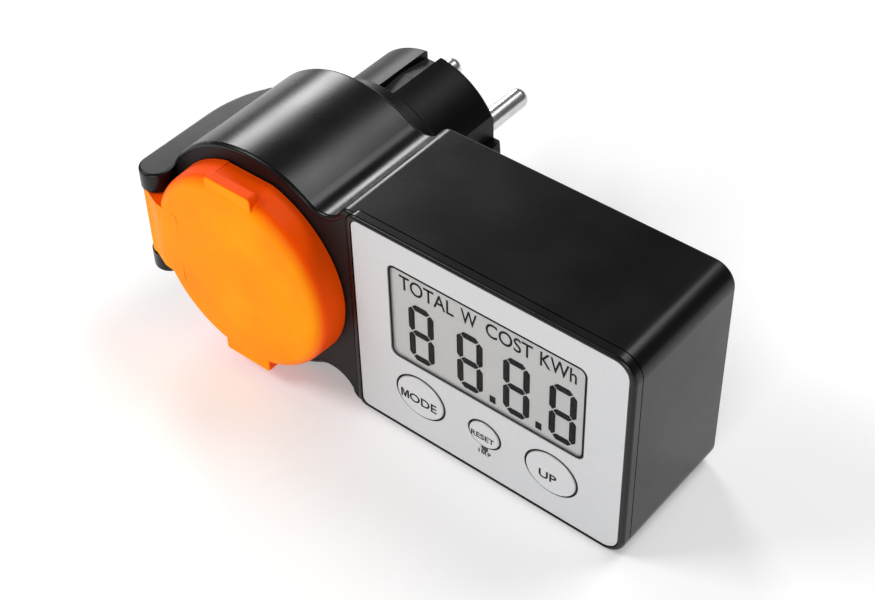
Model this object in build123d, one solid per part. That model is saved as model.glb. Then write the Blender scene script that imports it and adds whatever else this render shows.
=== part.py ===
from build123d import *
from math import acos, atan2, cos, degrees, hypot, radians, sin
import os

os.makedirs("parts", exist_ok=True)

# Plug-in power meter.  X runs from the socket to the display, Y into the wall, Z up.
# The origin is the middle of the plug's end face, half way between the two pins.

# Plug and pins
pin_radius = 2.4
pin_spacing = 19.0
pin_length = 19.0
pin_seat_radius = 2.2
pin_shoulder = 0.3
pin_recess = 0.4
plug_radius = 18.4
plug_length = 18.2
plug_flat_x = 16.0
plug_rib_half = 2.75
groove_width = 4.2
groove_floor = 15.8
collar_radius = 20.6
collar_length = 7.2
flange_radius = 22.3
flange_thickness = 1.8
core_radius = 14.8
core_end = -17.4

# Housing
socket_radius = 26.7
housing_depth = 31.8
wall = 2.0
rear_wall = 2.2
rim_wall = 0.9
edge_round = 0.8
web_radius = 6.0
box_overlap = 3.7
box_width = 68.9
box_height = 52.4
box_centre_z = -0.6
box_corner = 4.8
box_left_corner = 2.4
surround_thickness = 2.2

# Hinge lugs on the left flank
lug_radius = 3.7
hinge_inset = 0.8
hinge_from_face = 2.4
flank_top = 13.0
flank_bottom = -14.0
lug_thickness = 4.6
flank_straight = 16.5
flank_tail = 4.5
recess_radius = 4.1
hinge_pin_radius = 1.1

# Front bezel and faceplate
bezel_step = 2.0
bezel_proud = 0.5
bezel_depth = 2.4
bezel_margin_x = 1.25
bezel_margin_z = 0.85
bezel_wall = 1.5
plate_thickness = 0.8
plate_gap = 0.25
plate_corner = 3.4
plate_left_corner = 1.6
shadow_gap = 0.25

# Display and buttons
window_width = 46.7
window_height = 24.3
window_from_left = 35.45
window_above_middle = 6.75
window_corner = 1.8
lcd_thickness = 2.5
button_below_middle = 13.65
button_spacing = 16.1
large_button_x = 5.85
large_button_z = 5.1
small_button_x = 3.65
small_button_z = 3.2
button_gap = 0.35
button_proud = 0.35
lamp_radius = 0.75
lamp_drop = 0.85

# Socket well
well_radius = 19.6
well_wall = 1.4
well_depth = 17.5
well_floor = 2.5
pin_hole_radius = 3.2
contact_bore = 2.45
contact_radius = 3.4

# Splash cap
cap_radius = 23.3
cap_thickness = 8.1
cap_wall = 2.4
cap_gap = 0.35
tab_half = 6.2
tab_centre = 0.7
tab_reach = 23.7
tab_front = 0.75
tab_back = 3.4
scoop_depth = 0.9

# Clearances
fit_gap = 0.1
running_gap = 0.06
moving_gap = 0.3

# Planes across the Y axis
rear_y = -(plug_length + collar_length)
face_y = rear_y - housing_depth
bezel_y = face_y - bezel_proud
parting_y = bezel_y + bezel_depth
rear_inner_y = rear_y - rear_wall
seat_y = face_y + surround_thickness
floor_y = face_y + well_depth
floor_back_y = floor_y + well_floor
plate_y = bezel_y + 0.15
plate_back_y = plate_y + plate_thickness
panel_back_y = plate_back_y + bezel_wall
board_y = panel_back_y + 5.9
board_thickness = 1.6
power_board_y = floor_back_y + 1.2
cap_back_y = face_y - cap_gap
cap_front_y = cap_back_y - cap_thickness
hinge_y = face_y - hinge_from_face
hinge_x = -(socket_radius - hinge_inset)
pin_x = pin_spacing / 2

# Edges of the display box
box_left = socket_radius - box_overlap
box_right = box_left + box_width
bezel_left = box_left + bezel_step
window_centre_x = box_left + window_from_left
window_centre_z = box_centre_z + window_above_middle
button_z = box_centre_z - button_below_middle
mode_x = window_centre_x - button_spacing
reset_x = window_centre_x
up_x = window_centre_x + button_spacing
box_bottom = box_centre_z - box_height / 2
box_top = box_centre_z + box_height / 2
plate_left = bezel_left + bezel_margin_x + plate_gap
plate_right = box_right - bezel_margin_x - plate_gap
plate_bottom = box_bottom + bezel_margin_z + plate_gap
plate_top = box_top - bezel_margin_z - plate_gap
post_x = (bezel_left + 5.8, box_right - 6.3)
post_z = (box_bottom + 6.8, box_top - 6.8)
post_places = [(x, z) for x in post_x for z in post_z]
post_radius = 3.1

# Hinge strap
strap_top = flank_top - lug_thickness - moving_gap
strap_bottom = flank_bottom + lug_thickness + moving_gap


def layer(sketch, front, back):
    """Extrude a sketch of the X-Z plane from one Y to another."""
    return extrude(Plane.XZ.offset(-back) * sketch, amount=back - front)


def rod(radius, front, back, x=0.0, z=0.0):
    return layer(Pos(x, z) * Circle(radius), front, back)


def oval(half_x, half_z, front, back, x, z):
    return layer(Pos(x, z) * Ellipse(half_x, half_z), front, back)


def tube(outer, inner, front, back, x=0.0, z=0.0):
    return rod(outer, front, back, x, z) - rod(inner, front - 1, back + 1, x, z)


def block(x0, x1, y0, y1, z0, z1):
    centre = ((x0 + x1) / 2, (y0 + y1) / 2, (z0 + z1) / 2)
    return Pos(*centre) * Box(x1 - x0, y1 - y0, z1 - z0)


def upright(radius, low, high, x, y):
    return Pos(x, y, (low + high) / 2) * Cylinder(radius, high - low)


def lying(radius, x0, x1, y, z):
    return Pos((x0 + x1) / 2, y, z) * Rot(0, 90, 0) * Cylinder(radius, x1 - x0)


def rounded(x0, x1, z0, z1, corner):
    return Pos((x0 + x1) / 2, (z0 + z1) / 2) * RectangleRounded(x1 - x0, z1 - z0, corner)


def two_corner(x0, x1, z0, z1, left_corner, right_corner):
    """Rounded rectangle whose left and right corners have their own radii."""
    middle = (x0 + x1) / 2
    left_half = rounded(x0, x1, z0, z1, left_corner) & rectangle(x0 - 1, middle, z0 - 1, z1 + 1)
    right_half = rounded(x0, x1, z0, z1, right_corner) & rectangle(middle, x1 + 1, z0 - 1, z1 + 1)
    return left_half + right_half


def rectangle(x0, x1, z0, z1):
    return Pos((x0 + x1) / 2, (z0 + z1) / 2) * Rectangle(x1 - x0, z1 - z0)


def ring_edges(solid, y):
    return solid.edges().filter_by_position(Axis.Y, y - 0.01, y + 0.01)


def web(side):
    """Concave fillet from the round socket to the display box, above (1) or below (-1)."""
    diagonal = box_left_corner * (1 - cos(radians(45)))
    crease_x = box_left + diagonal
    crease_z = (box_top if side > 0 else -box_bottom) - diagonal
    reach = hypot(crease_x, crease_z)
    centre_reach = socket_radius + web_radius
    turn = acos((reach**2 + centre_reach**2 - web_radius**2) / (2 * reach * centre_reach))
    angle = atan2(crease_z, crease_x) + turn
    centre = (centre_reach * cos(angle), side * centre_reach * sin(angle))
    touch = (socket_radius * cos(angle), side * socket_radius * sin(angle))
    inner_z = side * (crease_z - 14)
    corner_x = crease_x + 3
    corners = [
        (touch[0] - 3, inner_z), (corner_x, inner_z), (corner_x, side * (crease_z - 3)),
        (crease_x, side * crease_z), touch]
    outline = Polygon(*corners[::side], align=None)
    return outline - Pos(*centre) * Circle(web_radius)


def flank_outline():
    """Plan of the left flank: lug nose, straight side, then a long arc in to the rear."""
    left = hinge_x - lug_radius
    start_y = face_y + flank_straight
    run = rear_y - start_y
    arc_radius = (flank_tail**2 + run**2) / (2 * flank_tail)
    half_turn = acos(1 - flank_tail / arc_radius) / 2
    middle = (left + arc_radius * (1 - cos(half_turn)), start_y + arc_radius * sin(half_turn))
    inner = hinge_x + lug_radius
    nose = Pos(hinge_x, hinge_y) * Circle(lug_radius)
    side = rectangle(left, inner, hinge_y, start_y)
    tail = make_face(
        Polyline((left + flank_tail, rear_y), (inner, rear_y), (inner, start_y), (left, start_y))
        + ThreePointArc((left, start_y), middle, (left + flank_tail, rear_y)))
    return nose + side + tail


def hinge_recess():
    """Space between the lugs for the cap's strap and barrel."""
    low = strap_bottom - moving_gap
    high = strap_top + moving_gap
    back = hinge_y + recess_radius
    inner = -(cap_radius - 1.4)
    room = block(hinge_x - 9, inner, face_y - 9, back, low, high)
    return room


box_face = two_corner(box_left, box_right, box_bottom, box_top, box_left_corner, box_corner)
bezel_face = two_corner(bezel_left, box_right, box_bottom, box_top, box_left_corner, box_corner)
socket_face = Circle(socket_radius) + web(1) + web(-1)
housing_face = socket_face + box_face
cavity_face = rounded(
    bezel_left + wall, box_right - wall, box_bottom + wall, box_top - wall, box_corner - wall)


def surround_face(gap):
    """Front plate of the socket side: the housing outline drawn in by the rim, less a gap."""
    inset = offset(housing_face, amount=-(rim_wall + gap))
    left_part = inset & rectangle(-60, bezel_left - fit_gap - gap, -60, 60)
    return left_part - offset(bezel_face, amount=fit_gap + gap)


# ---- Housing -------------------------------------------------------------------------------
def rear_shell():
    body = layer(housing_face, face_y, rear_y)
    body = fillet(ring_edges(body, face_y) + ring_edges(body, rear_y), edge_round)
    flank = extrude(Pos(0, 0, flank_bottom) * flank_outline(), amount=flank_top - flank_bottom)
    caps = flank.edges().filter_by_position(Axis.Z, flank_top - 0.01, flank_top + 0.01)
    caps += flank.edges().filter_by_position(Axis.Z, flank_bottom - 0.01, flank_bottom + 0.01)
    body += fillet(caps, 0.6)
    body -= layer(offset(bezel_face, amount=fit_gap), bezel_y - 1, parting_y)
    body -= layer(surround_face(0), face_y - 1, seat_y)
    body -= rod(socket_radius - wall, seat_y, rear_inner_y)
    body -= layer(cavity_face, parting_y - 1, rear_inner_y)
    body -= block(well_radius, bezel_left + wall + 1, seat_y + 4, rear_inner_y, -9, 9)
    body -= hinge_recess()
    body -= upright(hinge_pin_radius, flank_bottom + 1, flank_top - 1, hinge_x, hinge_y)
    body -= rod(collar_radius + fit_gap, rear_inner_y - 1, rear_y + 1)
    for x, z in post_places:
        body += rod(4.2, rear_inner_y - 6.3, rear_inner_y, x, z)
    for x, z in post_places:
        body -= rod(3.0, rear_inner_y - 2.8, rear_y + 1, x, z)
        body -= rod(1.6, rear_inner_y - 7, rear_y, x, z)
    for x, z in board_posts:
        body += rod(3.0, power_board_y + board_thickness, rear_inner_y, x, z)
        body -= rod(1.1, power_board_y, rear_inner_y - 0.6, x, z)
    return body - label_room(0)


board_posts = [(box_left + 21.0, box_centre_z + 16.0), (box_left + 53.0, box_centre_z - 17.0)]


def label_room(gap):
    left, right = box_left + 11, box_left + 57
    room = rounded(left + gap, right - gap, -15 + gap, 15 - gap, 1.5)
    return layer(room, rear_y - 0.25, rear_y + (1 if gap == 0 else -0.05))


def socket_surround():
    plate = layer(surround_face(fit_gap), face_y, seat_y)
    plate -= rod(well_radius + well_wall + fit_gap, face_y - 1, seat_y + 1)
    return plate - hinge_recess()


def socket_insert():
    outer = well_radius + well_wall
    cup = rod(outer, face_y, floor_back_y) - rod(well_radius, face_y - 1, floor_y)
    for side in (-1, 1):
        for z in (-6.0, 6.0):
            cup += block(*sorted((side * 17.2, side * 20.0)), face_y + 5, floor_y, z - 2.4, z + 2.4)
        cup -= rod(pin_hole_radius, floor_y - 1, floor_back_y + 1, side * pin_x)
        slot = sorted((side * 17.0, side * (outer + 1)))
        cup -= block(-2.8, 2.8, face_y + 2.2, floor_back_y + 1, *slot)
    cup -= hinge_side_relief()
    return cup + rod(1.5, floor_back_y, floor_back_y + 1.7)


def hinge_side_relief():
    return block(-(well_radius + 5), -(cap_radius - 1.4), face_y - 1, seat_y, strap_bottom, strap_top)


def plug_body():
    collar = rod(flange_radius, rear_inner_y - flange_thickness, rear_inner_y)
    collar += fillet(ring_edges(rod(collar_radius, rear_inner_y, -plug_length), -plug_length), 0.5)
    plug = rod(plug_radius, -plug_length, 0)
    plug = fillet(ring_edges(plug, 0), 1.0)
    body = collar + plug
    for x in (-1, 1):
        for z in (-1, 1):
            flat = (*sorted((x * plug_flat_x, x * 19.5)), -plug_length, 1)
            body -= block(*flat, *sorted((z * plug_rib_half, z * 10)))
        body -= rod(pin_seat_radius + 0.03, core_end - 1, 1, x * pin_x)
        body -= rod(pin_radius + 0.1, -pin_recess, 1, x * pin_x)
    front = rear_inner_y - flange_thickness - 1
    for z in (-1, 1):
        half = groove_width / 2
        body -= block(-half, half, -plug_length, 1, *sorted((z * groove_floor, z * 20)))
        body -= block(-2.6, 2.6, front, -plug_length + 0.01, *sorted((z * (groove_floor - 0.2), z * 17.6)))
    return body - rod(core_radius, front, core_end)


def housing_screws():
    screws = []
    for x, z in post_places:
        head_y = rear_inner_y - 2.8
        screw = rod(2.7, head_y, head_y + 2.0, x, z) + rod(1.3, head_y - 13, head_y, x, z)
        screw -= block(x - 2.0, x + 2.0, head_y + 1.0, head_y + 3, z - 0.35, z + 0.35)
        screw -= block(x - 0.35, x + 0.35, head_y + 1.0, head_y + 3, z - 2.0, z + 2.0)
        screws.append(screw)
    return Compound(children=screws)


def rating_label():
    return label_room(0.1)


# ---- Display side --------------------------------------------------------------------------
def openings(front, back, grow):
    """Window, button and lamp openings of the bezel wall."""
    cut = layer(window_face(grow), front, back)
    for x, half_x, half_z in button_sizes:
        cut += oval(half_x + button_gap + grow, half_z + button_gap + grow, front, back, x, button_z)
    return cut + rod(lamp_radius + 0.15 + grow, front, back, reset_x, lamp_z)


lamp_z = button_z - small_button_z - lamp_drop
button_sizes = [
    (mode_x, large_button_x, large_button_z),
    (reset_x, small_button_x, small_button_z),
    (up_x, large_button_x, large_button_z)]


def window_face(grow):
    half_x = window_width / 2 + grow
    half_z = window_height / 2 + grow
    return rounded(
        window_centre_x - half_x, window_centre_x + half_x,
        window_centre_z - half_z, window_centre_z + half_z, window_corner + grow)


def bezel():
    frame = layer(bezel_face, bezel_y, parting_y - shadow_gap)
    frame = fillet(ring_edges(frame, bezel_y), 0.7)
    lip = offset(bezel_face, amount=-(wall + fit_gap)) - offset(bezel_face, amount=-(wall + 1.3))
    lip = lip & rectangle(bezel_left + wall + fit_gap, 200, -60, 60)
    frame += layer(lip, parting_y - shadow_gap, parting_y + 1.6)
    room = two_corner(
        plate_left - plate_gap, plate_right + plate_gap, plate_bottom - plate_gap,
        plate_top + plate_gap, plate_left_corner + plate_gap, plate_corner + plate_gap)
    frame -= layer(room, bezel_y - 1, plate_back_y)
    frame -= openings(bezel_y - 1, parting_y + 1, 0)
    for x, z in post_places:
        frame += rod(post_radius, panel_back_y - 0.5, rear_inner_y - 6.5, x, z)
        frame -= rod(1.35, rear_inner_y - 16.5, rear_inner_y - 6, x, z)
    return frame


def faceplate():
    sheet = two_corner(
        plate_left, plate_right, plate_bottom, plate_top, plate_left_corner, plate_corner)
    return layer(sheet, plate_y, plate_back_y) - openings(plate_y - 1, plate_back_y + 1, 0)


def lcd_window():
    return layer(window_face(-0.15), plate_y + 0.1, plate_y + 0.3)


def lcd_panel():
    front = plate_y + 0.45
    return layer(window_face(-0.15), front, front + lcd_thickness)


def lcd_holder():
    outer = offset(window_face(0), amount=1.0)
    front = plate_y + 0.45 + lcd_thickness
    frame = layer(outer, max(front, panel_back_y), board_y)
    inner = window_face(-1.2)
    return frame - layer(inner, front - 1, board_y + 1) - zebra_room(0.1)


def zebra_room(gap):
    front = plate_y + 0.45 + lcd_thickness
    half_x = window_width / 2 - 3 + gap
    strips = []
    for side in (-1, 1):
        z = window_centre_z + side * (window_height / 2 - 1.6)
        strip = (window_centre_x - half_x, window_centre_x + half_x, front - gap, board_y + gap)
        strips.append(block(*strip, z - 1.0 - gap, z + 1.0 + gap))
    return Compound(children=strips)


def zebra_strips():
    return zebra_room(0)


def corner_room(front, back):
    """Square corners cut out of a board so that it clears the four posts."""
    reach = 3.6
    room = None
    for x, z in post_places:
        out_x = -5 if x < window_centre_x else 5
        out_z = -5 if z < 0 else 5
        xs = sorted((x - out_x / 5 * reach, x + out_x))
        zs = sorted((z - out_z / 5 * reach, z + out_z))
        corner = block(*xs, front, back, *zs)
        room = corner if room is None else room + corner
    return room


def display_board():
    outline = rounded(plate_left + 2.6, plate_right - 2.0, plate_bottom + 2.2, plate_top - 2.2, 1.5)
    board = layer(outline, board_y, board_y + board_thickness)
    return board - corner_room(board_y - 1, board_y + 3)


def button(x, half_x, half_z):
    """Oval button cap with its retaining flange and the stem that meets the switch."""
    front = plate_y - button_proud
    flange_y = panel_back_y + moving_gap
    body = oval(half_x, half_z, front, flange_y, x, button_z)
    body = fillet(ring_edges(body, front), 0.35)
    body += oval(half_x + 1.0, half_z + 1.0, flange_y, flange_y + 0.8, x, button_z)
    body -= rod(lamp_radius + 0.25, front - 1, flange_y + 2, reset_x, lamp_z)
    return body + rod(1.6, flange_y + 0.8, flange_y + 1.7, x, button_z)


def plunger(x):
    front = panel_back_y + moving_gap + 1.7
    return rod(1.4, front, board_y - 1.9, x, button_z)


def switch(x):
    front = board_y - 3.1
    base = block(x - 3, x + 3, front, board_y, button_z - 3, button_z + 3)
    return base - rod(1.4 + running_gap, front - 1, board_y - 1.2, x, button_z)


def pulse_lamp():
    lens = rod(lamp_radius, plate_y, board_y - 1.5, reset_x, lamp_z)
    return lens + block(reset_x - 1.2, reset_x + 1.2, board_y - 1.5, board_y, lamp_z - 1.0, lamp_z + 1.0)


def controller_chip():
    blob = rod(5.0, board_y - 1.6, board_y, window_centre_x, window_centre_z)
    return fillet(ring_edges(blob, board_y - 1.6), 1.2)


def crystal():
    return lying(1.4, box_left + 17, box_left + 23, board_y - 1.4, window_centre_z)


battery_x = box_left + 21.5


def backup_battery():
    front = board_y + board_thickness + 0.4
    return rod(10.0, front, front + 3.2, battery_x, window_centre_z)


def battery_clip():
    front = board_y + board_thickness
    left, right = battery_x - 1.5, battery_x + 1.5
    low, high = window_centre_z - 11.4, window_centre_z + 11.4
    clip = block(left, right, front + 3.6, front + 4.0, low, high)
    for z in (low, high - 0.4):
        clip += block(left, right, front, front + 4.0, z, z + 0.4)
    return clip


def board_header():
    left = box_left + 27
    low = box_centre_z - box_height / 2 + 5.8
    return block(left, left + 12, board_y + board_thickness, power_board_y, low, low + 2.5)


# ---- Power side ----------------------------------------------------------------------------
def power_board():
    outline = rounded(plate_left + 2.6, plate_right - 2.0, plate_bottom + 2.2, plate_top - 2.2, 1.5)
    board = layer(outline, power_board_y, power_board_y + board_thickness)
    board -= corner_room(power_board_y - 1, power_board_y + 3)
    for x, z in board_posts:
        board -= rod(1.2, power_board_y - 1, power_board_y + 3, x, z)
    return board


def board_screws():
    screws = []
    for x, z in board_posts:
        screw = rod(2.2, power_board_y - 1.4, power_board_y, x, z)
        screw += rod(1.05, power_board_y, power_board_y + 6, x, z)
        screw -= block(x - 1.6, x + 1.6, power_board_y - 2, power_board_y - 0.8, z - 0.3, z + 0.3)
        screws.append(screw)
    return Compound(children=screws)


def film_capacitor():
    left = box_left + 39
    body = block(left, left + 18, power_board_y - 9.4, power_board_y, 4.0, 13.0)
    return fillet(body.edges().filter_by(Axis.Y), 0.6)


def smoothing_capacitor():
    can = rod(4.0, power_board_y - 9.6, power_board_y, box_left + 37, -12.0)
    return fillet(ring_edges(can, power_board_y - 9.6), 0.6)


def varistor():
    return lying(4.6, box_left + 32.6, box_left + 36.4, power_board_y - 4.6, 9.0)


def dropper_resistor():
    return lying(2.1, box_left + 13, box_left + 24, power_board_y - 2.1, box_centre_z - 16.4)


def metering_chip():
    return block(box_left + 15, box_left + 25, power_board_y - 1.8, power_board_y, -12.0, -6.0)


def rectifier():
    return block(box_left + 45, box_left + 51, power_board_y - 2.6, power_board_y, -9.0, -3.0)


shunt_y = power_board_y + board_thickness
shunt_left = box_left + 8


def shunt():
    return block(shunt_left, shunt_left + 16, shunt_y, shunt_y + 1.0, -3.0, 3.0)


# ---- Socket contacts, shutter and earth ----------------------------------------------------
guide_y = floor_back_y + 1.8
guide_back_y = guide_y + 1.6
contact_y = guide_y + 0.2
contact_back_y = contact_y + 10.2
link_y = core_end - 2.2


def shutter_guide():
    cup = rod(18.6, floor_back_y, guide_back_y) - rod(17.2, floor_back_y - 1, guide_y)
    for side in (-1, 1):
        cup -= rod(contact_radius + fit_gap, guide_y - 1, guide_back_y + 1, side * pin_x)
        cup -= block(-2.8, 2.8, floor_back_y - 1, guide_back_y + 1, *sorted((side * 16.9, side * 20)))
    return cup


def shutter():
    """Two round vanes on a hub: it turns aside when both pins push in."""
    front = floor_back_y + 0.25
    vane = rod(3.3, front, front + 1.2)
    for side in (-1, 1):
        vane += rod(3.4, front, front + 1.2, side * pin_x)
    vane += block(-pin_x, pin_x, front, front + 1.2, -1.8, 1.8)
    return vane - rod(1.5 + running_gap, front - 1, front + 3)


def shutter_spring():
    """Leaf that stands beside the vane and pushes it back to the closed place."""
    front = floor_back_y + 0.3
    leaf = block(-3.0, -2.6, front, front + 1.0, 6.0, 12.0)
    return leaf + block(-3.0, 1.0, front, front + 1.0, 12.0, 12.4)


def contact(side):
    """Split tube that grips one pin, with a tab for its link."""
    x = side * pin_x
    body = rod(contact_radius, contact_y, contact_back_y, x)
    body -= rod(contact_bore, contact_y - 1, contact_back_y + 1, x)
    body -= block(x - 0.4, x + 0.4, contact_y - 1, contact_y + 6.5, -5, 5)
    tab = sorted((side * (pin_x + contact_radius - 0.5), side * (pin_x + contact_radius + 0.4)))
    return body + block(*tab, contact_back_y - 6.0, contact_back_y, -2.4, 2.4)


def pin(side):
    x = side * pin_x
    shaft = rod(pin_radius, pin_shoulder, pin_length, x)
    shaft = fillet(ring_edges(shaft, pin_length), 1.9)
    shaft += rod(pin_seat_radius, core_end, pin_shoulder, x)
    return shaft + rod(3.3, core_end - 1.4, core_end, x)


tab_x = pin_x + contact_radius + 0.4


def neutral_link():
    """Strap from the neutral contact's tab to the neutral pin's head."""
    leg = block(-tab_x - 0.9, -tab_x, contact_back_y - 4.0, link_y + 0.8, -2.4, 2.4)
    foot = block(-tab_x - 0.9, -pin_x + 3.0, link_y, link_y + 0.8, -2.4, 2.4)
    return leg + foot


def neutral_tap():
    """Thin strip from the neutral link to the power board."""
    y = contact_back_y - 6.2
    drop = block(-tab_x - 0.9, -tab_x, y, y + 0.6, -8.0, -2.4)
    end = shunt_left + 2
    run = block(-tab_x - 0.9, end, y, y + 0.6, -8.0, -7.0)
    return drop + run + block(end - 1, end, shunt_y, y + 0.6, -8.0, -7.0)


def load_link():
    """Strap from the live contact's tab to the near end of the shunt."""
    y = contact_back_y - 5.6
    leg = block(tab_x, tab_x + 0.8, y, contact_back_y - 1.0, -2.4, 2.4)
    end = shunt_left + 3
    run = block(tab_x, end, y, y + 0.8, -2.4, 2.4)
    return leg + run + block(end - 1, end, shunt_y + 1.0, y + 0.8, -2.4, 2.4)


def supply_link():
    """Strap from the live pin's head to the far end of the shunt."""
    foot = block(pin_x - 3.0, pin_x + 3.0, link_y, link_y + 0.8, -3.0, 7.4)
    y = shunt_y + 1.0
    leg = block(pin_x - 2.6, pin_x + 2.2, y, link_y + 0.8, 6.6, 7.4)
    end = shunt_left + 16
    run = block(pin_x - 2.6, end, y, y + 0.8, 4.4, 7.4)
    return foot + leg + run + block(end - 4, end, y, y + 0.8, 1.6, 7.4)


earth_step_y = contact_back_y - 7.0
strip = 0.6
rail_high = 19.9
rail_low = groove_floor + 0.15


def earth_rail(side):
    """One bent strip: springs into the well, steps in behind it and runs out along the plug."""
    line = [
        (face_y + 3.4, rail_high + 0.3), (face_y + 10.0, 17.9), (floor_y - 1.5, rail_high),
        (earth_step_y, rail_high), (earth_step_y, rail_low), (-plug_length + 1.0, rail_low),
        (-plug_length / 2, rail_low + 0.9), (-1.4, rail_low)]
    body = None
    for (y0, z0), (y1, z1) in zip(line, line[1:]):
        run = hypot(y1 - y0, z1 - z0) + strip
        turn = degrees(atan2(z1 - z0, y1 - y0))
        place = Pos(0, (y0 + y1) / 2, side * ((z0 + z1) / 2 + strip / 2))
        piece = place * Rot(side * turn, 0, 0) * Box(groove_width - 0.4, run, strip)
        body = piece if body is None else body + piece
    return body


def earth_bridge():
    """Half ring that joins the two rails round the neutral side."""
    front = earth_step_y + strip / 2
    ring = tube(19.4, rail_low + strip + 0.35, front, front + 0.8)
    return ring - block(2.2, 40, front - 1, front + 2, -40, 40)


# ---- Splash cap ----------------------------------------------------------------------------
def cap():
    edge = cap_front_y + 2.6
    profile = make_face(
        ThreePointArc((0, cap_front_y), (11, cap_front_y + 0.15), (cap_radius - 2.6, cap_front_y + 0.6))
        + ThreePointArc(
            (cap_radius - 2.6, cap_front_y + 0.6),
            (cap_radius - 0.95, edge - 1.05),
            (cap_radius - 0.25, edge + 0.6))
        + Polyline(
            (cap_radius - 0.25, edge + 0.6), (cap_radius, cap_back_y), (0, cap_back_y), (0, cap_front_y)))
    body = revolve(profile, axis=Axis.Y)
    for side in (-1, 1):
        left, right = tab_centre - tab_half, tab_centre + tab_half
        tab = rounded(left, right, *sorted((side * 17.0, side * tab_reach)), 0.9)
        scoop = sorted((side * (cap_radius - scoop_depth), side * 40))
        body -= block(left, right, cap_front_y + tab_back, cap_back_y + 1, *scoop)
        body += fillet(layer(tab, cap_front_y + tab_front, cap_front_y + tab_back).edges(), 0.4)
    strap = Polygon(
        (hinge_x - 2.3, hinge_y - 2.5), (-cap_radius + 1.6, cap_front_y + 0.9),
        (-cap_radius + 8.0, cap_front_y + 0.3),
        (-cap_radius + 5.4, cap_back_y), (-cap_radius + 0.8, cap_back_y),
        (hinge_x + 1.4, hinge_y + 3.1), align=None)
    strap += Pos(hinge_x, hinge_y) * Circle(lug_radius - 0.3)
    body += extrude(Pos(0, 0, strap_bottom) * strap, amount=strap_top - strap_bottom)
    body -= rod(cap_radius - cap_wall, cap_front_y + cap_wall, cap_back_y + 1)
    body -= upright(hinge_pin_radius + running_gap, strap_bottom - 1, strap_top + 1, hinge_x, hinge_y)
    return body - upright(2.4, -3.6, 2.6, hinge_x, hinge_y)


def cap_seal():
    outer = cap_radius - cap_wall
    return tube(outer, outer - 1.5, cap_back_y - 3.0, cap_back_y, 0, 0)


def hinge_pin():
    return upright(hinge_pin_radius, flank_bottom + 1, flank_top - 1, hinge_x, hinge_y)


def hinge_spring():
    return upright(2.0, -3.3, 2.3, hinge_x, hinge_y) - upright(1.35, -4, 3, hinge_x, hinge_y)


nodes = {
    "rear_shell": rear_shell(),
    "socket_surround": socket_surround(),
    "socket_insert": socket_insert(),
    "plug_body": plug_body(),
    "housing_screws": housing_screws(),
    "rating_label": rating_label(),
    "display_bezel": bezel(),
    "faceplate": faceplate(),
    "lcd_window": lcd_window(),
    "lcd_panel": lcd_panel(),
    "lcd_holder": lcd_holder(),
    "zebra_strips": zebra_strips(),
    "display_board": display_board(),
    "pulse_lamp": pulse_lamp(),
    "controller_chip": controller_chip(),
    "crystal": crystal(),
    "backup_battery": backup_battery(),
    "battery_clip": battery_clip(),
    "board_header": board_header(),
    "power_board": power_board(),
    "board_screws": board_screws(),
    "film_capacitor": film_capacitor(),
    "smoothing_capacitor": smoothing_capacitor(),
    "varistor": varistor(),
    "dropper_resistor": dropper_resistor(),
    "metering_chip": metering_chip(),
    "rectifier": rectifier(),
    "shunt": shunt(),
    "shutter_guide": shutter_guide(),
    "shutter": shutter(),
    "shutter_spring": shutter_spring(),
    "neutral_contact": contact(-1),
    "live_contact": contact(1),
    "neutral_pin": pin(-1),
    "live_pin": pin(1),
    "neutral_link": neutral_link(),
    "neutral_tap": neutral_tap(),
    "load_link": load_link(),
    "supply_link": supply_link(),
    "earth_rail_upper": earth_rail(1),
    "earth_rail_lower": earth_rail(-1),
    "earth_bridge": earth_bridge(),
    "splash_cap": cap(),
    "cap_seal": cap_seal(),
    "hinge_pin": hinge_pin(),
    "hinge_spring": hinge_spring(),
}
for name, (x, half_x, half_z) in zip(("mode", "reset", "up"), button_sizes):
    nodes[name + "_button"] = button(x, half_x, half_z)
    nodes[name + "_plunger"] = plunger(x)
    nodes[name + "_switch"] = switch(x)

for name, shape in nodes.items():
    export_step(shape, "parts/" + name + ".step")
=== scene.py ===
from math import cos, pi, radians, sin

import bmesh
import bpy
from mathutils import Matrix, Vector


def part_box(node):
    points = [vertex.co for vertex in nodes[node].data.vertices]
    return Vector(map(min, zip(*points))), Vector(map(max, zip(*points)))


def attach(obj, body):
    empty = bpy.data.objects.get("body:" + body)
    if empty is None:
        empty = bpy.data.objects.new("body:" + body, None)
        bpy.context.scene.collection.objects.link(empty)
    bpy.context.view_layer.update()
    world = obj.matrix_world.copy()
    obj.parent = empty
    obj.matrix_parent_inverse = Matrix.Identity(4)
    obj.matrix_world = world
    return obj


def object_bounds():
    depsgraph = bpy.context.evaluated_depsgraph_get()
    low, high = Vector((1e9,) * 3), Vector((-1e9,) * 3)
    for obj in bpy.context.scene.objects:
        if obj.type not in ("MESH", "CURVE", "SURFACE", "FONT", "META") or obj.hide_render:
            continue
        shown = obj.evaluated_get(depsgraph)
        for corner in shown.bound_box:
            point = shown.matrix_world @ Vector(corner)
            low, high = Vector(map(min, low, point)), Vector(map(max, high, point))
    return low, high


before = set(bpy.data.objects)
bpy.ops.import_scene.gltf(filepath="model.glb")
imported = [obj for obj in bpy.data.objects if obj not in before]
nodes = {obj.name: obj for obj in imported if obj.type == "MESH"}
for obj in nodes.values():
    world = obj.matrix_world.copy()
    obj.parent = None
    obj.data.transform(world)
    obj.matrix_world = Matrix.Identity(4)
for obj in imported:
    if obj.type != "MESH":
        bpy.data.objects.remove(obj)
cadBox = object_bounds()
mm = 0.001


def linear(hexText):
    channels = [int(hexText[i:i + 2], 16) / 255 for i in (1, 3, 5)]
    return [c / 12.92 if c <= 0.04045 else ((c + 0.055) / 1.055) ** 2.4 for c in channels] + [1.0]


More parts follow.
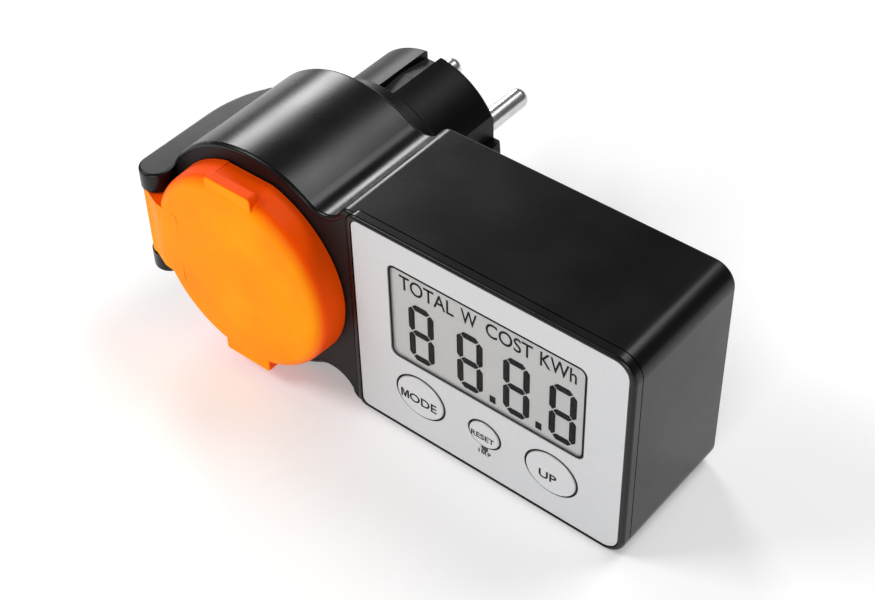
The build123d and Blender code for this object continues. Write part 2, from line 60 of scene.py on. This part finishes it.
def addNode(material, kind, settings=None, inputs=None):
    node = material.node_tree.nodes.new(kind)
    for name, value in (settings or {}).items():
        setattr(node, name, value)
    for name, value in (inputs or {}).items():
        if isinstance(value, bpy.types.NodeSocket):
            material.node_tree.links.new(value, node.inputs[name])
        else:
            node.inputs[name].default_value = value
    return node


def startMaterial(name, values):
    material = bpy.data.materials.new(name)
    material.use_nodes = True
    shader = material.node_tree.nodes["Principled BSDF"]
    for socket, value in values.items():
        shader.inputs[socket].default_value = value
    place = addNode(material, "ShaderNodeTexCoord").outputs["Object"]
    return material, shader, place


def patternRange(material, pattern, low, high):
    return addNode(material, "ShaderNodeMapRange", None, {
        "Value": pattern, "From Min": 0.3, "From Max": 0.7, "To Min": low, "To Max": high}).outputs["Result"]


def colourRange(material, pattern, dark, light, start=0.3, end=0.7):
    ramp = addNode(material, "ShaderNodeValToRGB", None, {"Fac": pattern})
    ramp.color_ramp.elements[0].position = start
    ramp.color_ramp.elements[0].color = linear(dark)
    ramp.color_ramp.elements[1].position = end
    ramp.color_ramp.elements[1].color = linear(light)
    return ramp.outputs["Color"]


def noise(material, place, size, detail=3.0):
    return addNode(material, "ShaderNodeTexNoise", None, {
        "Vector": place, "Scale": 1 / (size * mm), "Detail": detail}).outputs["Fac"]


def stretched(material, place, scale):
    return addNode(material, "ShaderNodeMapping", None, {"Vector": place, "Scale": scale}).outputs["Vector"]


def bump(material, shader, pattern, height, strength=1.0):
    node = addNode(material, "ShaderNodeBump", None, {
        "Height": pattern, "Distance": height * mm, "Strength": strength})
    material.node_tree.links.new(node.outputs["Normal"], shader.inputs["Normal"])


def link(material, source, shader, socket):
    material.node_tree.links.new(source, shader.inputs[socket])


# how far red, green and blue light travel inside the pale plastics, in metres
glowReach = (0.003, 0.0009, 0.0003)


def mouldedPlastic(name, spec):
    # injection-moulded ABS: an even colour under a fine spark-eroded grain, gloss broken a little by it
    material, shader, place = startMaterial(name, {
        "IOR": 1.5, "Roughness": spec["rough"], "Subsurface Weight": spec.get("glow", 0.0),
        "Specular IOR Level": spec.get("gleam", 0.5)})
    shader.inputs["Subsurface Radius"].default_value = glowReach
    shader.inputs["Subsurface Scale"].default_value = 1.0
    grain = noise(material, place, spec["grain"])
    cloud = noise(material, place, 14.0, 2.0)
    colour = colourRange(material, cloud, spec["dark"], spec["light"])
    # painted shade on the side walls, where the spec gives a side colour
    if "side" in spec:
        colour = paintedSideShade(material, colour, spec)
    link(material, colour, shader, "Base Color")
    gloss = patternRange(material, cloud, spec["rough"] - 0.03, spec["rough"] + 0.03)
    link(material, gloss, shader, "Roughness")
    bump(material, shader, grain, spec["depth"])
    return material


def paintedSideShade(material, colour, spec):
    # painted shade: faces turned away from the front take the deeper red-orange side colour, standing in for
    # the shade on the cap's side walls
    facing = addNode(material, "ShaderNodeTexCoord").outputs["Normal"]
    towardWall = addNode(material, "ShaderNodeSeparateXYZ", None, {"Vector": facing}).outputs["Y"]
    front, back = spec["sideRange"]
    amount = addNode(material, "ShaderNodeMapRange", None, {
        "Value": towardWall, "From Min": front, "From Max": back}).outputs["Result"]
    mix = addNode(material, "ShaderNodeMix", {"data_type": "RGBA"}, {
        "Factor": amount, "A": colour, "B": linear(spec["side"])})
    return mix.outputs["Result"]


def plainMetal(name, spec):
    # plated or drawn metal: fine lines along the draw, with faint cloudy tarnish
    material, shader, place = startMaterial(name, {"Metallic": 1.0, "Roughness": spec["rough"]})
    lines = noise(material, stretched(material, place, spec["along"]), spec["grain"])
    cloud = noise(material, place, 5.0, 2.0)
    link(material, colourRange(material, cloud, spec["dark"], spec["light"]), shader, "Base Color")
    gloss = patternRange(material, lines, spec["rough"] - 0.02, spec["rough"] + 0.03)
    link(material, gloss, shader, "Roughness")
    bump(material, shader, lines, spec["depth"])
    return material


def silverFoil(name, spec):
    # pearl-lacquered foil over a steel sheet: pale grey with a very fine sparkle
    material, shader, place = startMaterial(name, {
        "Metallic": spec["metal"], "Roughness": spec["rough"], "IOR": 1.5})
    sparkle = noise(material, place, 0.18, 2.0)
    link(material, colourRange(material, sparkle, spec["dark"], spec["light"]), shader, "Base Color")
    gloss = patternRange(material, sparkle, spec["rough"] - 0.05, spec["rough"] + 0.05)
    link(material, gloss, shader, "Roughness")
    bump(material, shader, sparkle, 0.004)
    return material


def displayGrey(name):
    # polariser over liquid-crystal glass: even warm grey, slightly glossy, with a faint cell texture
    material, shader, place = startMaterial(name, {"Roughness": 0.32, "IOR": 1.5})
    cells = noise(material, place, 0.35, 1.0)
    link(material, colourRange(material, cells, "#B4B4B3", "#BDBDBC"), shader, "Base Color")
    link(material, patternRange(material, cells, 0.28, 0.36), shader, "Roughness")
    bump(material, shader, cells, 0.002)
    return material


def clearFilm(name):
    # thin clear acrylic over the display: only its reflection is seen
    material, shader, place = startMaterial(name, {
        "Base Color": linear("#202224"), "Roughness": 0.06, "IOR": 1.49, "Alpha": 0.03})
    bump(material, shader, noise(material, place, 6.0, 1.0), 0.004)
    return material


def printedInk(name, dark, light, rough):
    # screen-printed ink: dense, a little uneven at the scale of the mesh
    material, shader, place = startMaterial(name, {
        "Roughness": rough, "IOR": 1.5, "Specular IOR Level": 0.15})
    mesh = noise(material, place, 0.12, 1.0)
    link(material, colourRange(material, mesh, dark, light), shader, "Base Color")
    bump(material, shader, mesh, 0.002)
    return material


def circuitBoard(name):
    # glass-fibre laminate under green solder mask, with the copper tracks showing as lighter bands
    material, shader, place = startMaterial(name, {"Roughness": 0.38, "IOR": 1.5})
    tracks = addNode(material, "ShaderNodeTexBrick", {"offset": 0.37}, {
        "Vector": place, "Scale": 180.0, "Mortar Size": 0.06,
        "Color1": linear("#0C4A24"), "Color2": linear("#0F552B"), "Mortar": linear("#2C7A45")})
    link(material, tracks.outputs["Color"], shader, "Base Color")
    bump(material, shader, tracks.outputs["Fac"], 0.03)
    return material


materials = {
    "black_plastic": mouldedPlastic("satinBlackAbs", {
        "dark": "#050506", "light": "#080809", "rough": 0.28, "grain": 0.5, "depth": 0.003, "gleam": 0.30}),
    "dark_surround": mouldedPlastic("mattCharcoalAbs", {
        "dark": "#0A0A0B", "light": "#0F0F10", "rough": 0.50, "grain": 0.35, "depth": 0.008, "gleam": 0.25}),
    # its side colour and sideRange paint shade onto the cap's side walls
    "orange_plastic": mouldedPlastic("translucentOrangePolypropylene", {
        "dark": "#FA8A00", "light": "#FF9C00", "rough": 0.46, "grain": 0.6, "depth": 0.003, "gleam": 0.06,
        "side": "#FF5200", "sideRange": (-0.92, -0.35)}),
    "silver_plate": silverFoil("pearlGreyFoil", {
        "dark": "#C2C3C5", "light": "#CFD0D1", "rough": 0.42, "metal": 0.15}),
    "silver_plastic": silverFoil("pearlGreyButtonLacquer", {
        "dark": "#C6C7C9", "light": "#D0D1D2", "rough": 0.38, "metal": 0.15}),
    "clear_window": clearFilm("clearAcrylicFilm"),
    "display_glass": displayGrey("liquidCrystalGrey"),
    "white_plastic": mouldedPlastic("naturalNylon", {
        "dark": "#D9D6CC", "light": "#E2DFD6", "rough": 0.45, "grain": 0.4, "depth": 0.006, "glow": 0.1}),
    "nickel": plainMetal("nickelPlatedBrass", {
        "dark": "#C9C9CA", "light": "#DCDCDD", "rough": 0.26,
        "grain": 0.8, "depth": 0.0001, "along": (1, 0.08, 1)}),
    "steel": plainMetal("zincPlatedSteel", {
        "dark": "#9A9DA0", "light": "#B6B9BC", "rough": 0.34,
        "grain": 0.25, "depth": 0.004, "along": (1, 1, 0.1)}),
    "copper_alloy": plainMetal("phosphorBronzeStrip", {
        "dark": "#B98552", "light": "#CFA071", "rough": 0.30,
        "grain": 0.25, "depth": 0.004, "along": (0.1, 1, 1)}),
    "board_green": circuitBoard("solderMaskedLaminate"),
    "black_epoxy": mouldedPlastic("fillerBlackEpoxy", {
        "dark": "#0E0E0F", "light": "#161617", "rough": 0.55, "grain": 0.2, "depth": 0.012}),
    "soft_rubber": mouldedPlastic("blackSiliconeRubber", {
        "dark": "#0B0B0B", "light": "#121212", "rough": 0.62, "grain": 0.3, "depth": 0.01}),
    "red_lens": mouldedPlastic("redTintedLens", {
        "dark": "#240A0A", "light": "#2E0D0C", "rough": 0.15, "grain": 0.8, "depth": 0.001}),
    "component_blue": mouldedPlastic("blueDippedEpoxy", {
        "dark": "#16376F", "light": "#1F4A8C", "rough": 0.28, "grain": 0.9, "depth": 0.02}),
    "component_yellow": mouldedPlastic("yellowCapacitorCase", {
        "dark": "#C79A22", "light": "#D6A92E", "rough": 0.40, "grain": 0.4, "depth": 0.006}),
    "label_paper": printedInk("blankSilverLabel", "#B9BBBD", "#C6C8CA", 0.5),
}
# softer, duller plastic of the plug
plugPlastic = mouldedPlastic("mattPlugPlastic", {
    "dark": "#050506", "light": "#080809", "rough": 0.38, "grain": 0.5, "depth": 0.004, "gleam": 0.14})
# tinned brass in the earth grooves of the plug, coloured dark grey as painted shade of the deep grooves
grooveShadeBrass = plainMetal("tinnedBrassGrooveShade", {
    "dark": "#4A4A4B", "light": "#5E5E60", "rough": 0.45,
    "grain": 0.3, "depth": 0.0006, "along": (1, 0.08, 1)})
# black ink of the digits, lettering and window line, also used for the painted shade in the gaps round the
# buttons
inkBlackAndGapShade = printedInk("blackInkAndGapShade", "#020202", "#060606", 0.5)
inkGrey = printedInk("charcoalPrintInk", "#0E0E0F", "#161617", 0.5)
ownMaterials = {"plug_body": plugPlastic, "earth_rail_upper": grooveShadeBrass, "earth_rail_lower": grooveShadeBrass}
print("materials ready")

for name, piece in nodes.items():
    slotName = piece.data.materials[0].name
    piece.data.materials.clear()
    piece.data.materials.append(ownMaterials.get(name, materials[slotName]))


def finishPiece(bm, name, body, material, angle=35):
    bmesh.ops.transform(bm, matrix=Matrix.Scale(mm, 4), verts=bm.verts)
    mesh = bpy.data.meshes.new(name)
    bm.to_mesh(mesh)
    bm.free()
    piece = bpy.data.objects.new(name, mesh)
    bpy.context.scene.collection.objects.link(piece)
    mesh.materials.append(material)
    mesh.shade_smooth()
    mesh.set_sharp_from_angle(angle=radians(angle))
    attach(piece, body)
    return piece


def raisedShape(bm, corners, front, thickness):
    # a flat outline in the X-Z plane, given depth towards the wall
    face = bm.faces.new([bm.verts.new((x, front, z)) for x, z in corners])
    face.normal_update()
    if face.normal.y > 0:
        face.normal_flip()
    walls = bmesh.ops.extrude_face_region(bm, geom=[face], use_keep_orig=True)
    moved = [v for v in walls["geom"] if isinstance(v, bmesh.types.BMVert)]
    bmesh.ops.translate(bm, verts=moved, vec=(0, thickness, 0))
    bmesh.ops.recalc_face_normals(bm, faces=bm.faces)


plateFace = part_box("faceplate")[0].y / mm
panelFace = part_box("lcd_panel")[0].y / mm
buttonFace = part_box("mode_button")[0].y / mm
windowLow, windowHigh = [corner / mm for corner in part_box("lcd_window")]

digitSpec = {
    "width": 6.2, "height": 14.9, "stroke": 1.5, "gap": 0.2, "thick": 0.06,
    "columns": (42.8, 54.65, 65.7, 76.4), "middle": 3.05, "pointWide": 1.4, "pointTall": 1.8,
    "points": ((60.1, -3.5), (71.0, -3.5))}


def segmentCorners(start, end, stroke):
    # a bar with pointed ends between two places
    run = Vector(end) - Vector(start)
    along = run.normalized() * stroke / 2
    side = Vector((-along.y, along.x))
    start, end = Vector(start), Vector(end)
    return [start, start + along + side, end - along + side, end, end - along - side, start + along - side]


def displayDigits():
    bm = bmesh.new()
    stroke = digitSpec["stroke"]
    halfWidth = (digitSpec["width"] - stroke) / 2
    halfHeight = (digitSpec["height"] - stroke) / 2
    gap, thick = digitSpec["gap"], digitSpec["thick"]
    for column in digitSpec["columns"]:
        left, right = column - halfWidth, column + halfWidth
        for level in (-halfHeight, 0, halfHeight):
            z = digitSpec["middle"] + level
            corners = segmentCorners((left + gap, z), (right - gap, z), stroke)
            raisedShape(bm, corners, panelFace - thick, thick)
        for x in (left, right):
            for low in (-halfHeight, 0):
                base = digitSpec["middle"] + low
                corners = segmentCorners((x, base + gap), (x, base + halfHeight - gap), stroke)
                raisedShape(bm, corners, panelFace - thick, thick)
    across, up = digitSpec["pointWide"] / 2, digitSpec["pointTall"] / 2
    for x, z in digitSpec["points"]:
        corners = [(x - across, z - up), (x + across, z - up), (x + across, z + up), (x - across, z + up)]
        raisedShape(bm, corners, panelFace - thick, thick)
    finishPiece(bm, "displayDigits", "housing", inkBlackAndGapShade, 20)


# half the thickness of printed lettering
printHalf = 0.02


def word(name, text, spec, body, material):
    # lettering as a thin raised print, scaled to the width and height it should have
    curve = bpy.data.curves.new(name, "FONT")
    curve.body = text
    curve.offset = spec.get("bold", 0.0)
    curve.extrude = printHalf
    holder = bpy.data.objects.new(name, curve)
    bpy.context.scene.collection.objects.link(holder)
    bpy.context.view_layer.update()
    flat = bpy.data.meshes.new_from_object(holder.evaluated_get(bpy.context.evaluated_depsgraph_get()))
    bpy.data.objects.remove(holder)
    bm = bmesh.new()
    bm.from_mesh(flat)
    bpy.data.meshes.remove(flat)
    bmesh.ops.remove_doubles(bm, verts=bm.verts, dist=0.0001)
    low = [min(v.co[i] for v in bm.verts) for i in (0, 1)]
    high = [max(v.co[i] for v in bm.verts) for i in (0, 1)]
    centre = Matrix.Translation((-(low[0] + high[0]) / 2, -(low[1] + high[1]) / 2, 0))
    scale = Matrix.Diagonal((spec["wide"] / (high[0] - low[0]), spec["tall"] / (high[1] - low[1]), 1, 1))
    upright = Matrix.Rotation(pi / 2, 4, "X")
    place = Matrix.Translation((spec["x"], spec["face"] - printHalf, spec["z"]))
    bmesh.ops.transform(bm, matrix=place @ upright @ scale @ centre, verts=bm.verts)
    bmesh.ops.recalc_face_normals(bm, faces=bm.faces)
    return finishPiece(bm, name, body, material, 20)


def letterM(name, spec, body):
    # the letter M as one outline: stem, two slopes, stem
    left, right = -spec["wide"] / 2, spec["wide"] / 2
    top, foot, stem = spec["tall"] / 2, -spec["tall"] / 2, spec["stem"]
    slope = spec["tall"] * 0.42
    corners = (
        (left, foot), (left, top), (left + stem * 1.25, top), (0, foot + slope), (right - stem * 1.25, top),
        (right, top), (right, foot), (right - stem, foot), (right - stem, top - slope * 0.45),
        (stem * 0.45, foot), (-stem * 0.45, foot), (left + stem, top - slope * 0.45), (left + stem, foot))
    bm = bmesh.new()
    thick = 1.5 * printHalf
    raisedShape(bm, [(spec["x"] + x, spec["z"] + z) for x, z in corners], spec["face"] - thick, thick)
    return finishPiece(bm, name, body, inkGrey, 20)


displayWords = {
    "wordTotal": ("TOTAL", 44.3, 13.2), "wordWatt": ("W", 54.5, 3.8),
    "wordCost": ("COST", 63.9, 10.8), "wordHour": ("KWh", 75.1, 8.2)}
buttonWords = {
    "modeMark": ("ODE", "mode_key", 43.15, -15.0, 6.9, 2.35),
    "resetMark": ("RESET", "reset_key", 58.2, -14.85, 5.7, 1.5),
    "upMark": ("UP", "up_key", 74.0, -15.15, 4.15, 2.2)}

windowLine = {"wide": 0.45, "corner": 1.8, "steps": 8, "inside": 0.02}


def closedRing(bm, outerFront, innerFront, outerBack, innerBack):
    # four loops of vertices joined into a ring that is closed all round
    walls = (
        (outerFront, innerFront), (innerBack, outerBack),
        (outerBack, outerFront), (innerFront, innerBack))
    for first, second in walls:
        for i in range(len(first)):
            j = (i + 1) % len(first)
            bm.faces.new((first[i], first[j], second[j], second[i]))
    bmesh.ops.recalc_face_normals(bm, faces=bm.faces)


def roundedLoop(bm, low, high, radius, y):
    loop = []
    corners = ((high.x, high.z, 0), (low.x, high.z, 1), (low.x, low.z, 2), (high.x, low.z, 3))
    for x, z, quarter in corners:
        centreX = x - radius if x == high.x else x + radius
        centreZ = z - radius if z == high.z else z + radius
        for step in range(windowLine["steps"] + 1):
            angle = (quarter + step / windowLine["steps"]) * pi / 2
            loop.append(bm.verts.new((centreX + radius * cos(angle), y, centreZ + radius * sin(angle))))
    return loop


def windowOutline():
    # the dark line printed round the display window
    bm = bmesh.new()
    front = windowLow.y - windowLine["inside"]
    inward = Vector((windowLine["wide"], 0, windowLine["wide"]))
    innerCorner = windowLine["corner"] - windowLine["wide"]
    loops = []
    for y in (front, windowLow.y + windowLine["inside"]):
        loops.append(roundedLoop(bm, windowLow, windowHigh, windowLine["corner"], y))
        loops.append(roundedLoop(bm, windowLow + inward, windowHigh - inward, innerCorner, y))
    closedRing(bm, *loops)
    finishPiece(bm, "windowOutline", "housing", inkBlackAndGapShade, 30)


# for each ring of painted shade: the button, the ring's outer half sizes, the button's half sizes
gapShadeRings = {
    "modeRing": ("mode_button", (6.35, 5.50), (5.85, 5.1)),
    "resetRing": ("reset_button", (4.12, 3.62), (3.65, 3.2)),
    "upRing": ("up_button", (6.35, 5.50), (5.85, 5.1))}
ringSpec = {"steps": 72, "clear": 0.08, "proud": 0.03, "deep": 0.3}


def paintedGapShadeRing(name, button, outer, buttonHalf):
    # painted shade: a black ring round a button, standing in for the shadow in the gap between the button and
    # the plate, and closing that gap
    low, high = [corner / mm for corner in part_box(button)]
    centre = (low + high) / 2
    inner = [half + ringSpec["clear"] for half in buttonHalf]
    bm = bmesh.new()
    loops = []
    for y in (plateFace - ringSpec["proud"], plateFace + ringSpec["deep"]):
        for across, up in (outer, inner):
            loop = []
            for step in range(ringSpec["steps"]):
                angle = 2 * pi * step / ringSpec["steps"]
                loop.append(bm.verts.new((centre.x + across * cos(angle), y, centre.z + up * sin(angle))))
            loops.append(loop)
    closedRing(bm, *loops)
    finishPiece(bm, name, "housing", inkBlackAndGapShade, 30)


displayDigits()
windowOutline()
for name, (button, outer, buttonHalf) in gapShadeRings.items():
    paintedGapShadeRing(name, button, outer, buttonHalf)
for name, (text, x, wide) in displayWords.items():
    word(name, text, {"x": x, "z": 14.65, "wide": wide, "tall": 3.6, "face": panelFace, "bold": 0.008},
         "housing", inkBlackAndGapShade)
for name, (text, body, x, z, wide, tall) in buttonWords.items():
    word(name, text, {"x": x, "z": z, "wide": wide, "tall": tall, "face": buttonFace, "bold": 0.014},
         body, inkGrey)
pulseRow = {"z": -19.6, "tall": 1.15, "face": plateFace}
word("pulseLetterI", "I", {**pulseRow, "x": 57.05, "wide": 0.26}, "housing", inkGrey)
word("pulseLetterP", "P", {**pulseRow, "x": 59.6, "wide": 0.8, "bold": 0.02},
     "housing", inkGrey)
letterM("pulseLetterM", {**pulseRow, "x": 58.25, "wide": 1.2, "stem": 0.25}, "housing")
letterM("modeLetterM", {"x": 38.5, "z": -15.0, "wide": 2.05, "tall": 2.25, "stem": 0.45, "face": buttonFace},
        "mode_key")
print("printed marks ready")


studio = {
    "floorDrop": 0.2, "floorSize": 6.0,
    "world": "#FFFFFF", "worldStrength": 0.13, "floorGlow": 0.22,
    "lights": (
        ("rimBox", (-0.86, 0.66, 0.50), 0.34, 0.34, 5.5),
        ("topBox", (0.27, 0.50, 1.05), 0.55, 0.45, 5.0),
        ("leftBox", (-1.0, -0.75, 1.10), 0.7, 0.6, 11.0),
        ("frontBox", (0.45, -1.25, 0.45), 0.7, 0.5, 8.0))}
cameraSpec = {
    "place": (0.20141, -0.23877, 0.24293), "azimuth": 40.35, "elevation": 43.70, "roll": -1.74, "lens": 72.58}


def paleFloor():
    bm = bmesh.new()
    bmesh.ops.create_grid(bm, x_segments=1, y_segments=1, size=studio["floorSize"] / 2)
    bmesh.ops.translate(bm, verts=bm.verts, vec=(0, 0, cadBox[0].z - studio["floorDrop"] * mm))
    mesh = bpy.data.meshes.new("paleFloor")
    bm.to_mesh(mesh)
    bm.free()
    material, shader, place = startMaterial("paleStudioPaper", {
        "Roughness": 0.9, "Emission Color": linear("#FFFFFF"), "Emission Strength": studio["floorGlow"]})
    fibres = noise(material, place, 60.0)
    link(material, colourRange(material, fibres, "#F6F6F6", "#FAFAFA"), shader, "Base Color")
    mesh.materials.append(material)
    floor = bpy.data.objects.new("paleFloor", mesh)
    bpy.context.scene.collection.objects.link(floor)


def softLights():
    world = bpy.data.worlds.new("softRoom")
    world.use_nodes = True
    background = world.node_tree.nodes["Background"]
    background.inputs["Color"].default_value = linear(studio["world"])
    background.inputs["Strength"].default_value = studio["worldStrength"]
    bpy.context.scene.world = world
    for name, place, wide, tall, power in studio["lights"]:
        lamp = bpy.data.lights.new(name, "AREA")
        lamp.shape = "RECTANGLE"
        lamp.size = wide
        lamp.size_y = tall
        lamp.energy = power
        holder = bpy.data.objects.new(name, lamp)
        holder.location = place
        aim = Vector((0.03, -0.03, 0)) - Vector(place)
        holder.rotation_euler = aim.to_track_quat("-Z", "Y").to_euler()
        bpy.context.scene.collection.objects.link(holder)


def addCamera():
    camera = bpy.data.cameras.new("camera")
    camera.lens = cameraSpec["lens"]
    camera.sensor_width = 36.0
    camera.clip_start = 0.01
    camera.clip_end = 50.0
    holder = bpy.data.objects.new("camera", camera)
    turn = Matrix.Rotation(radians(cameraSpec["azimuth"]), 4, "Z")
    tilt = Matrix.Rotation(pi / 2 - radians(cameraSpec["elevation"]), 4, "X")
    roll = Matrix.Rotation(radians(cameraSpec["roll"]), 4, "Z")
    holder.matrix_world = Matrix.Translation(cameraSpec["place"]) @ turn @ tilt @ roll
    bpy.context.scene.collection.objects.link(holder)
    bpy.context.scene.camera = holder


paleFloor()
softLights()
addCamera()
bpy.context.scene.view_settings.view_transform = "Standard"
print("studio ready")
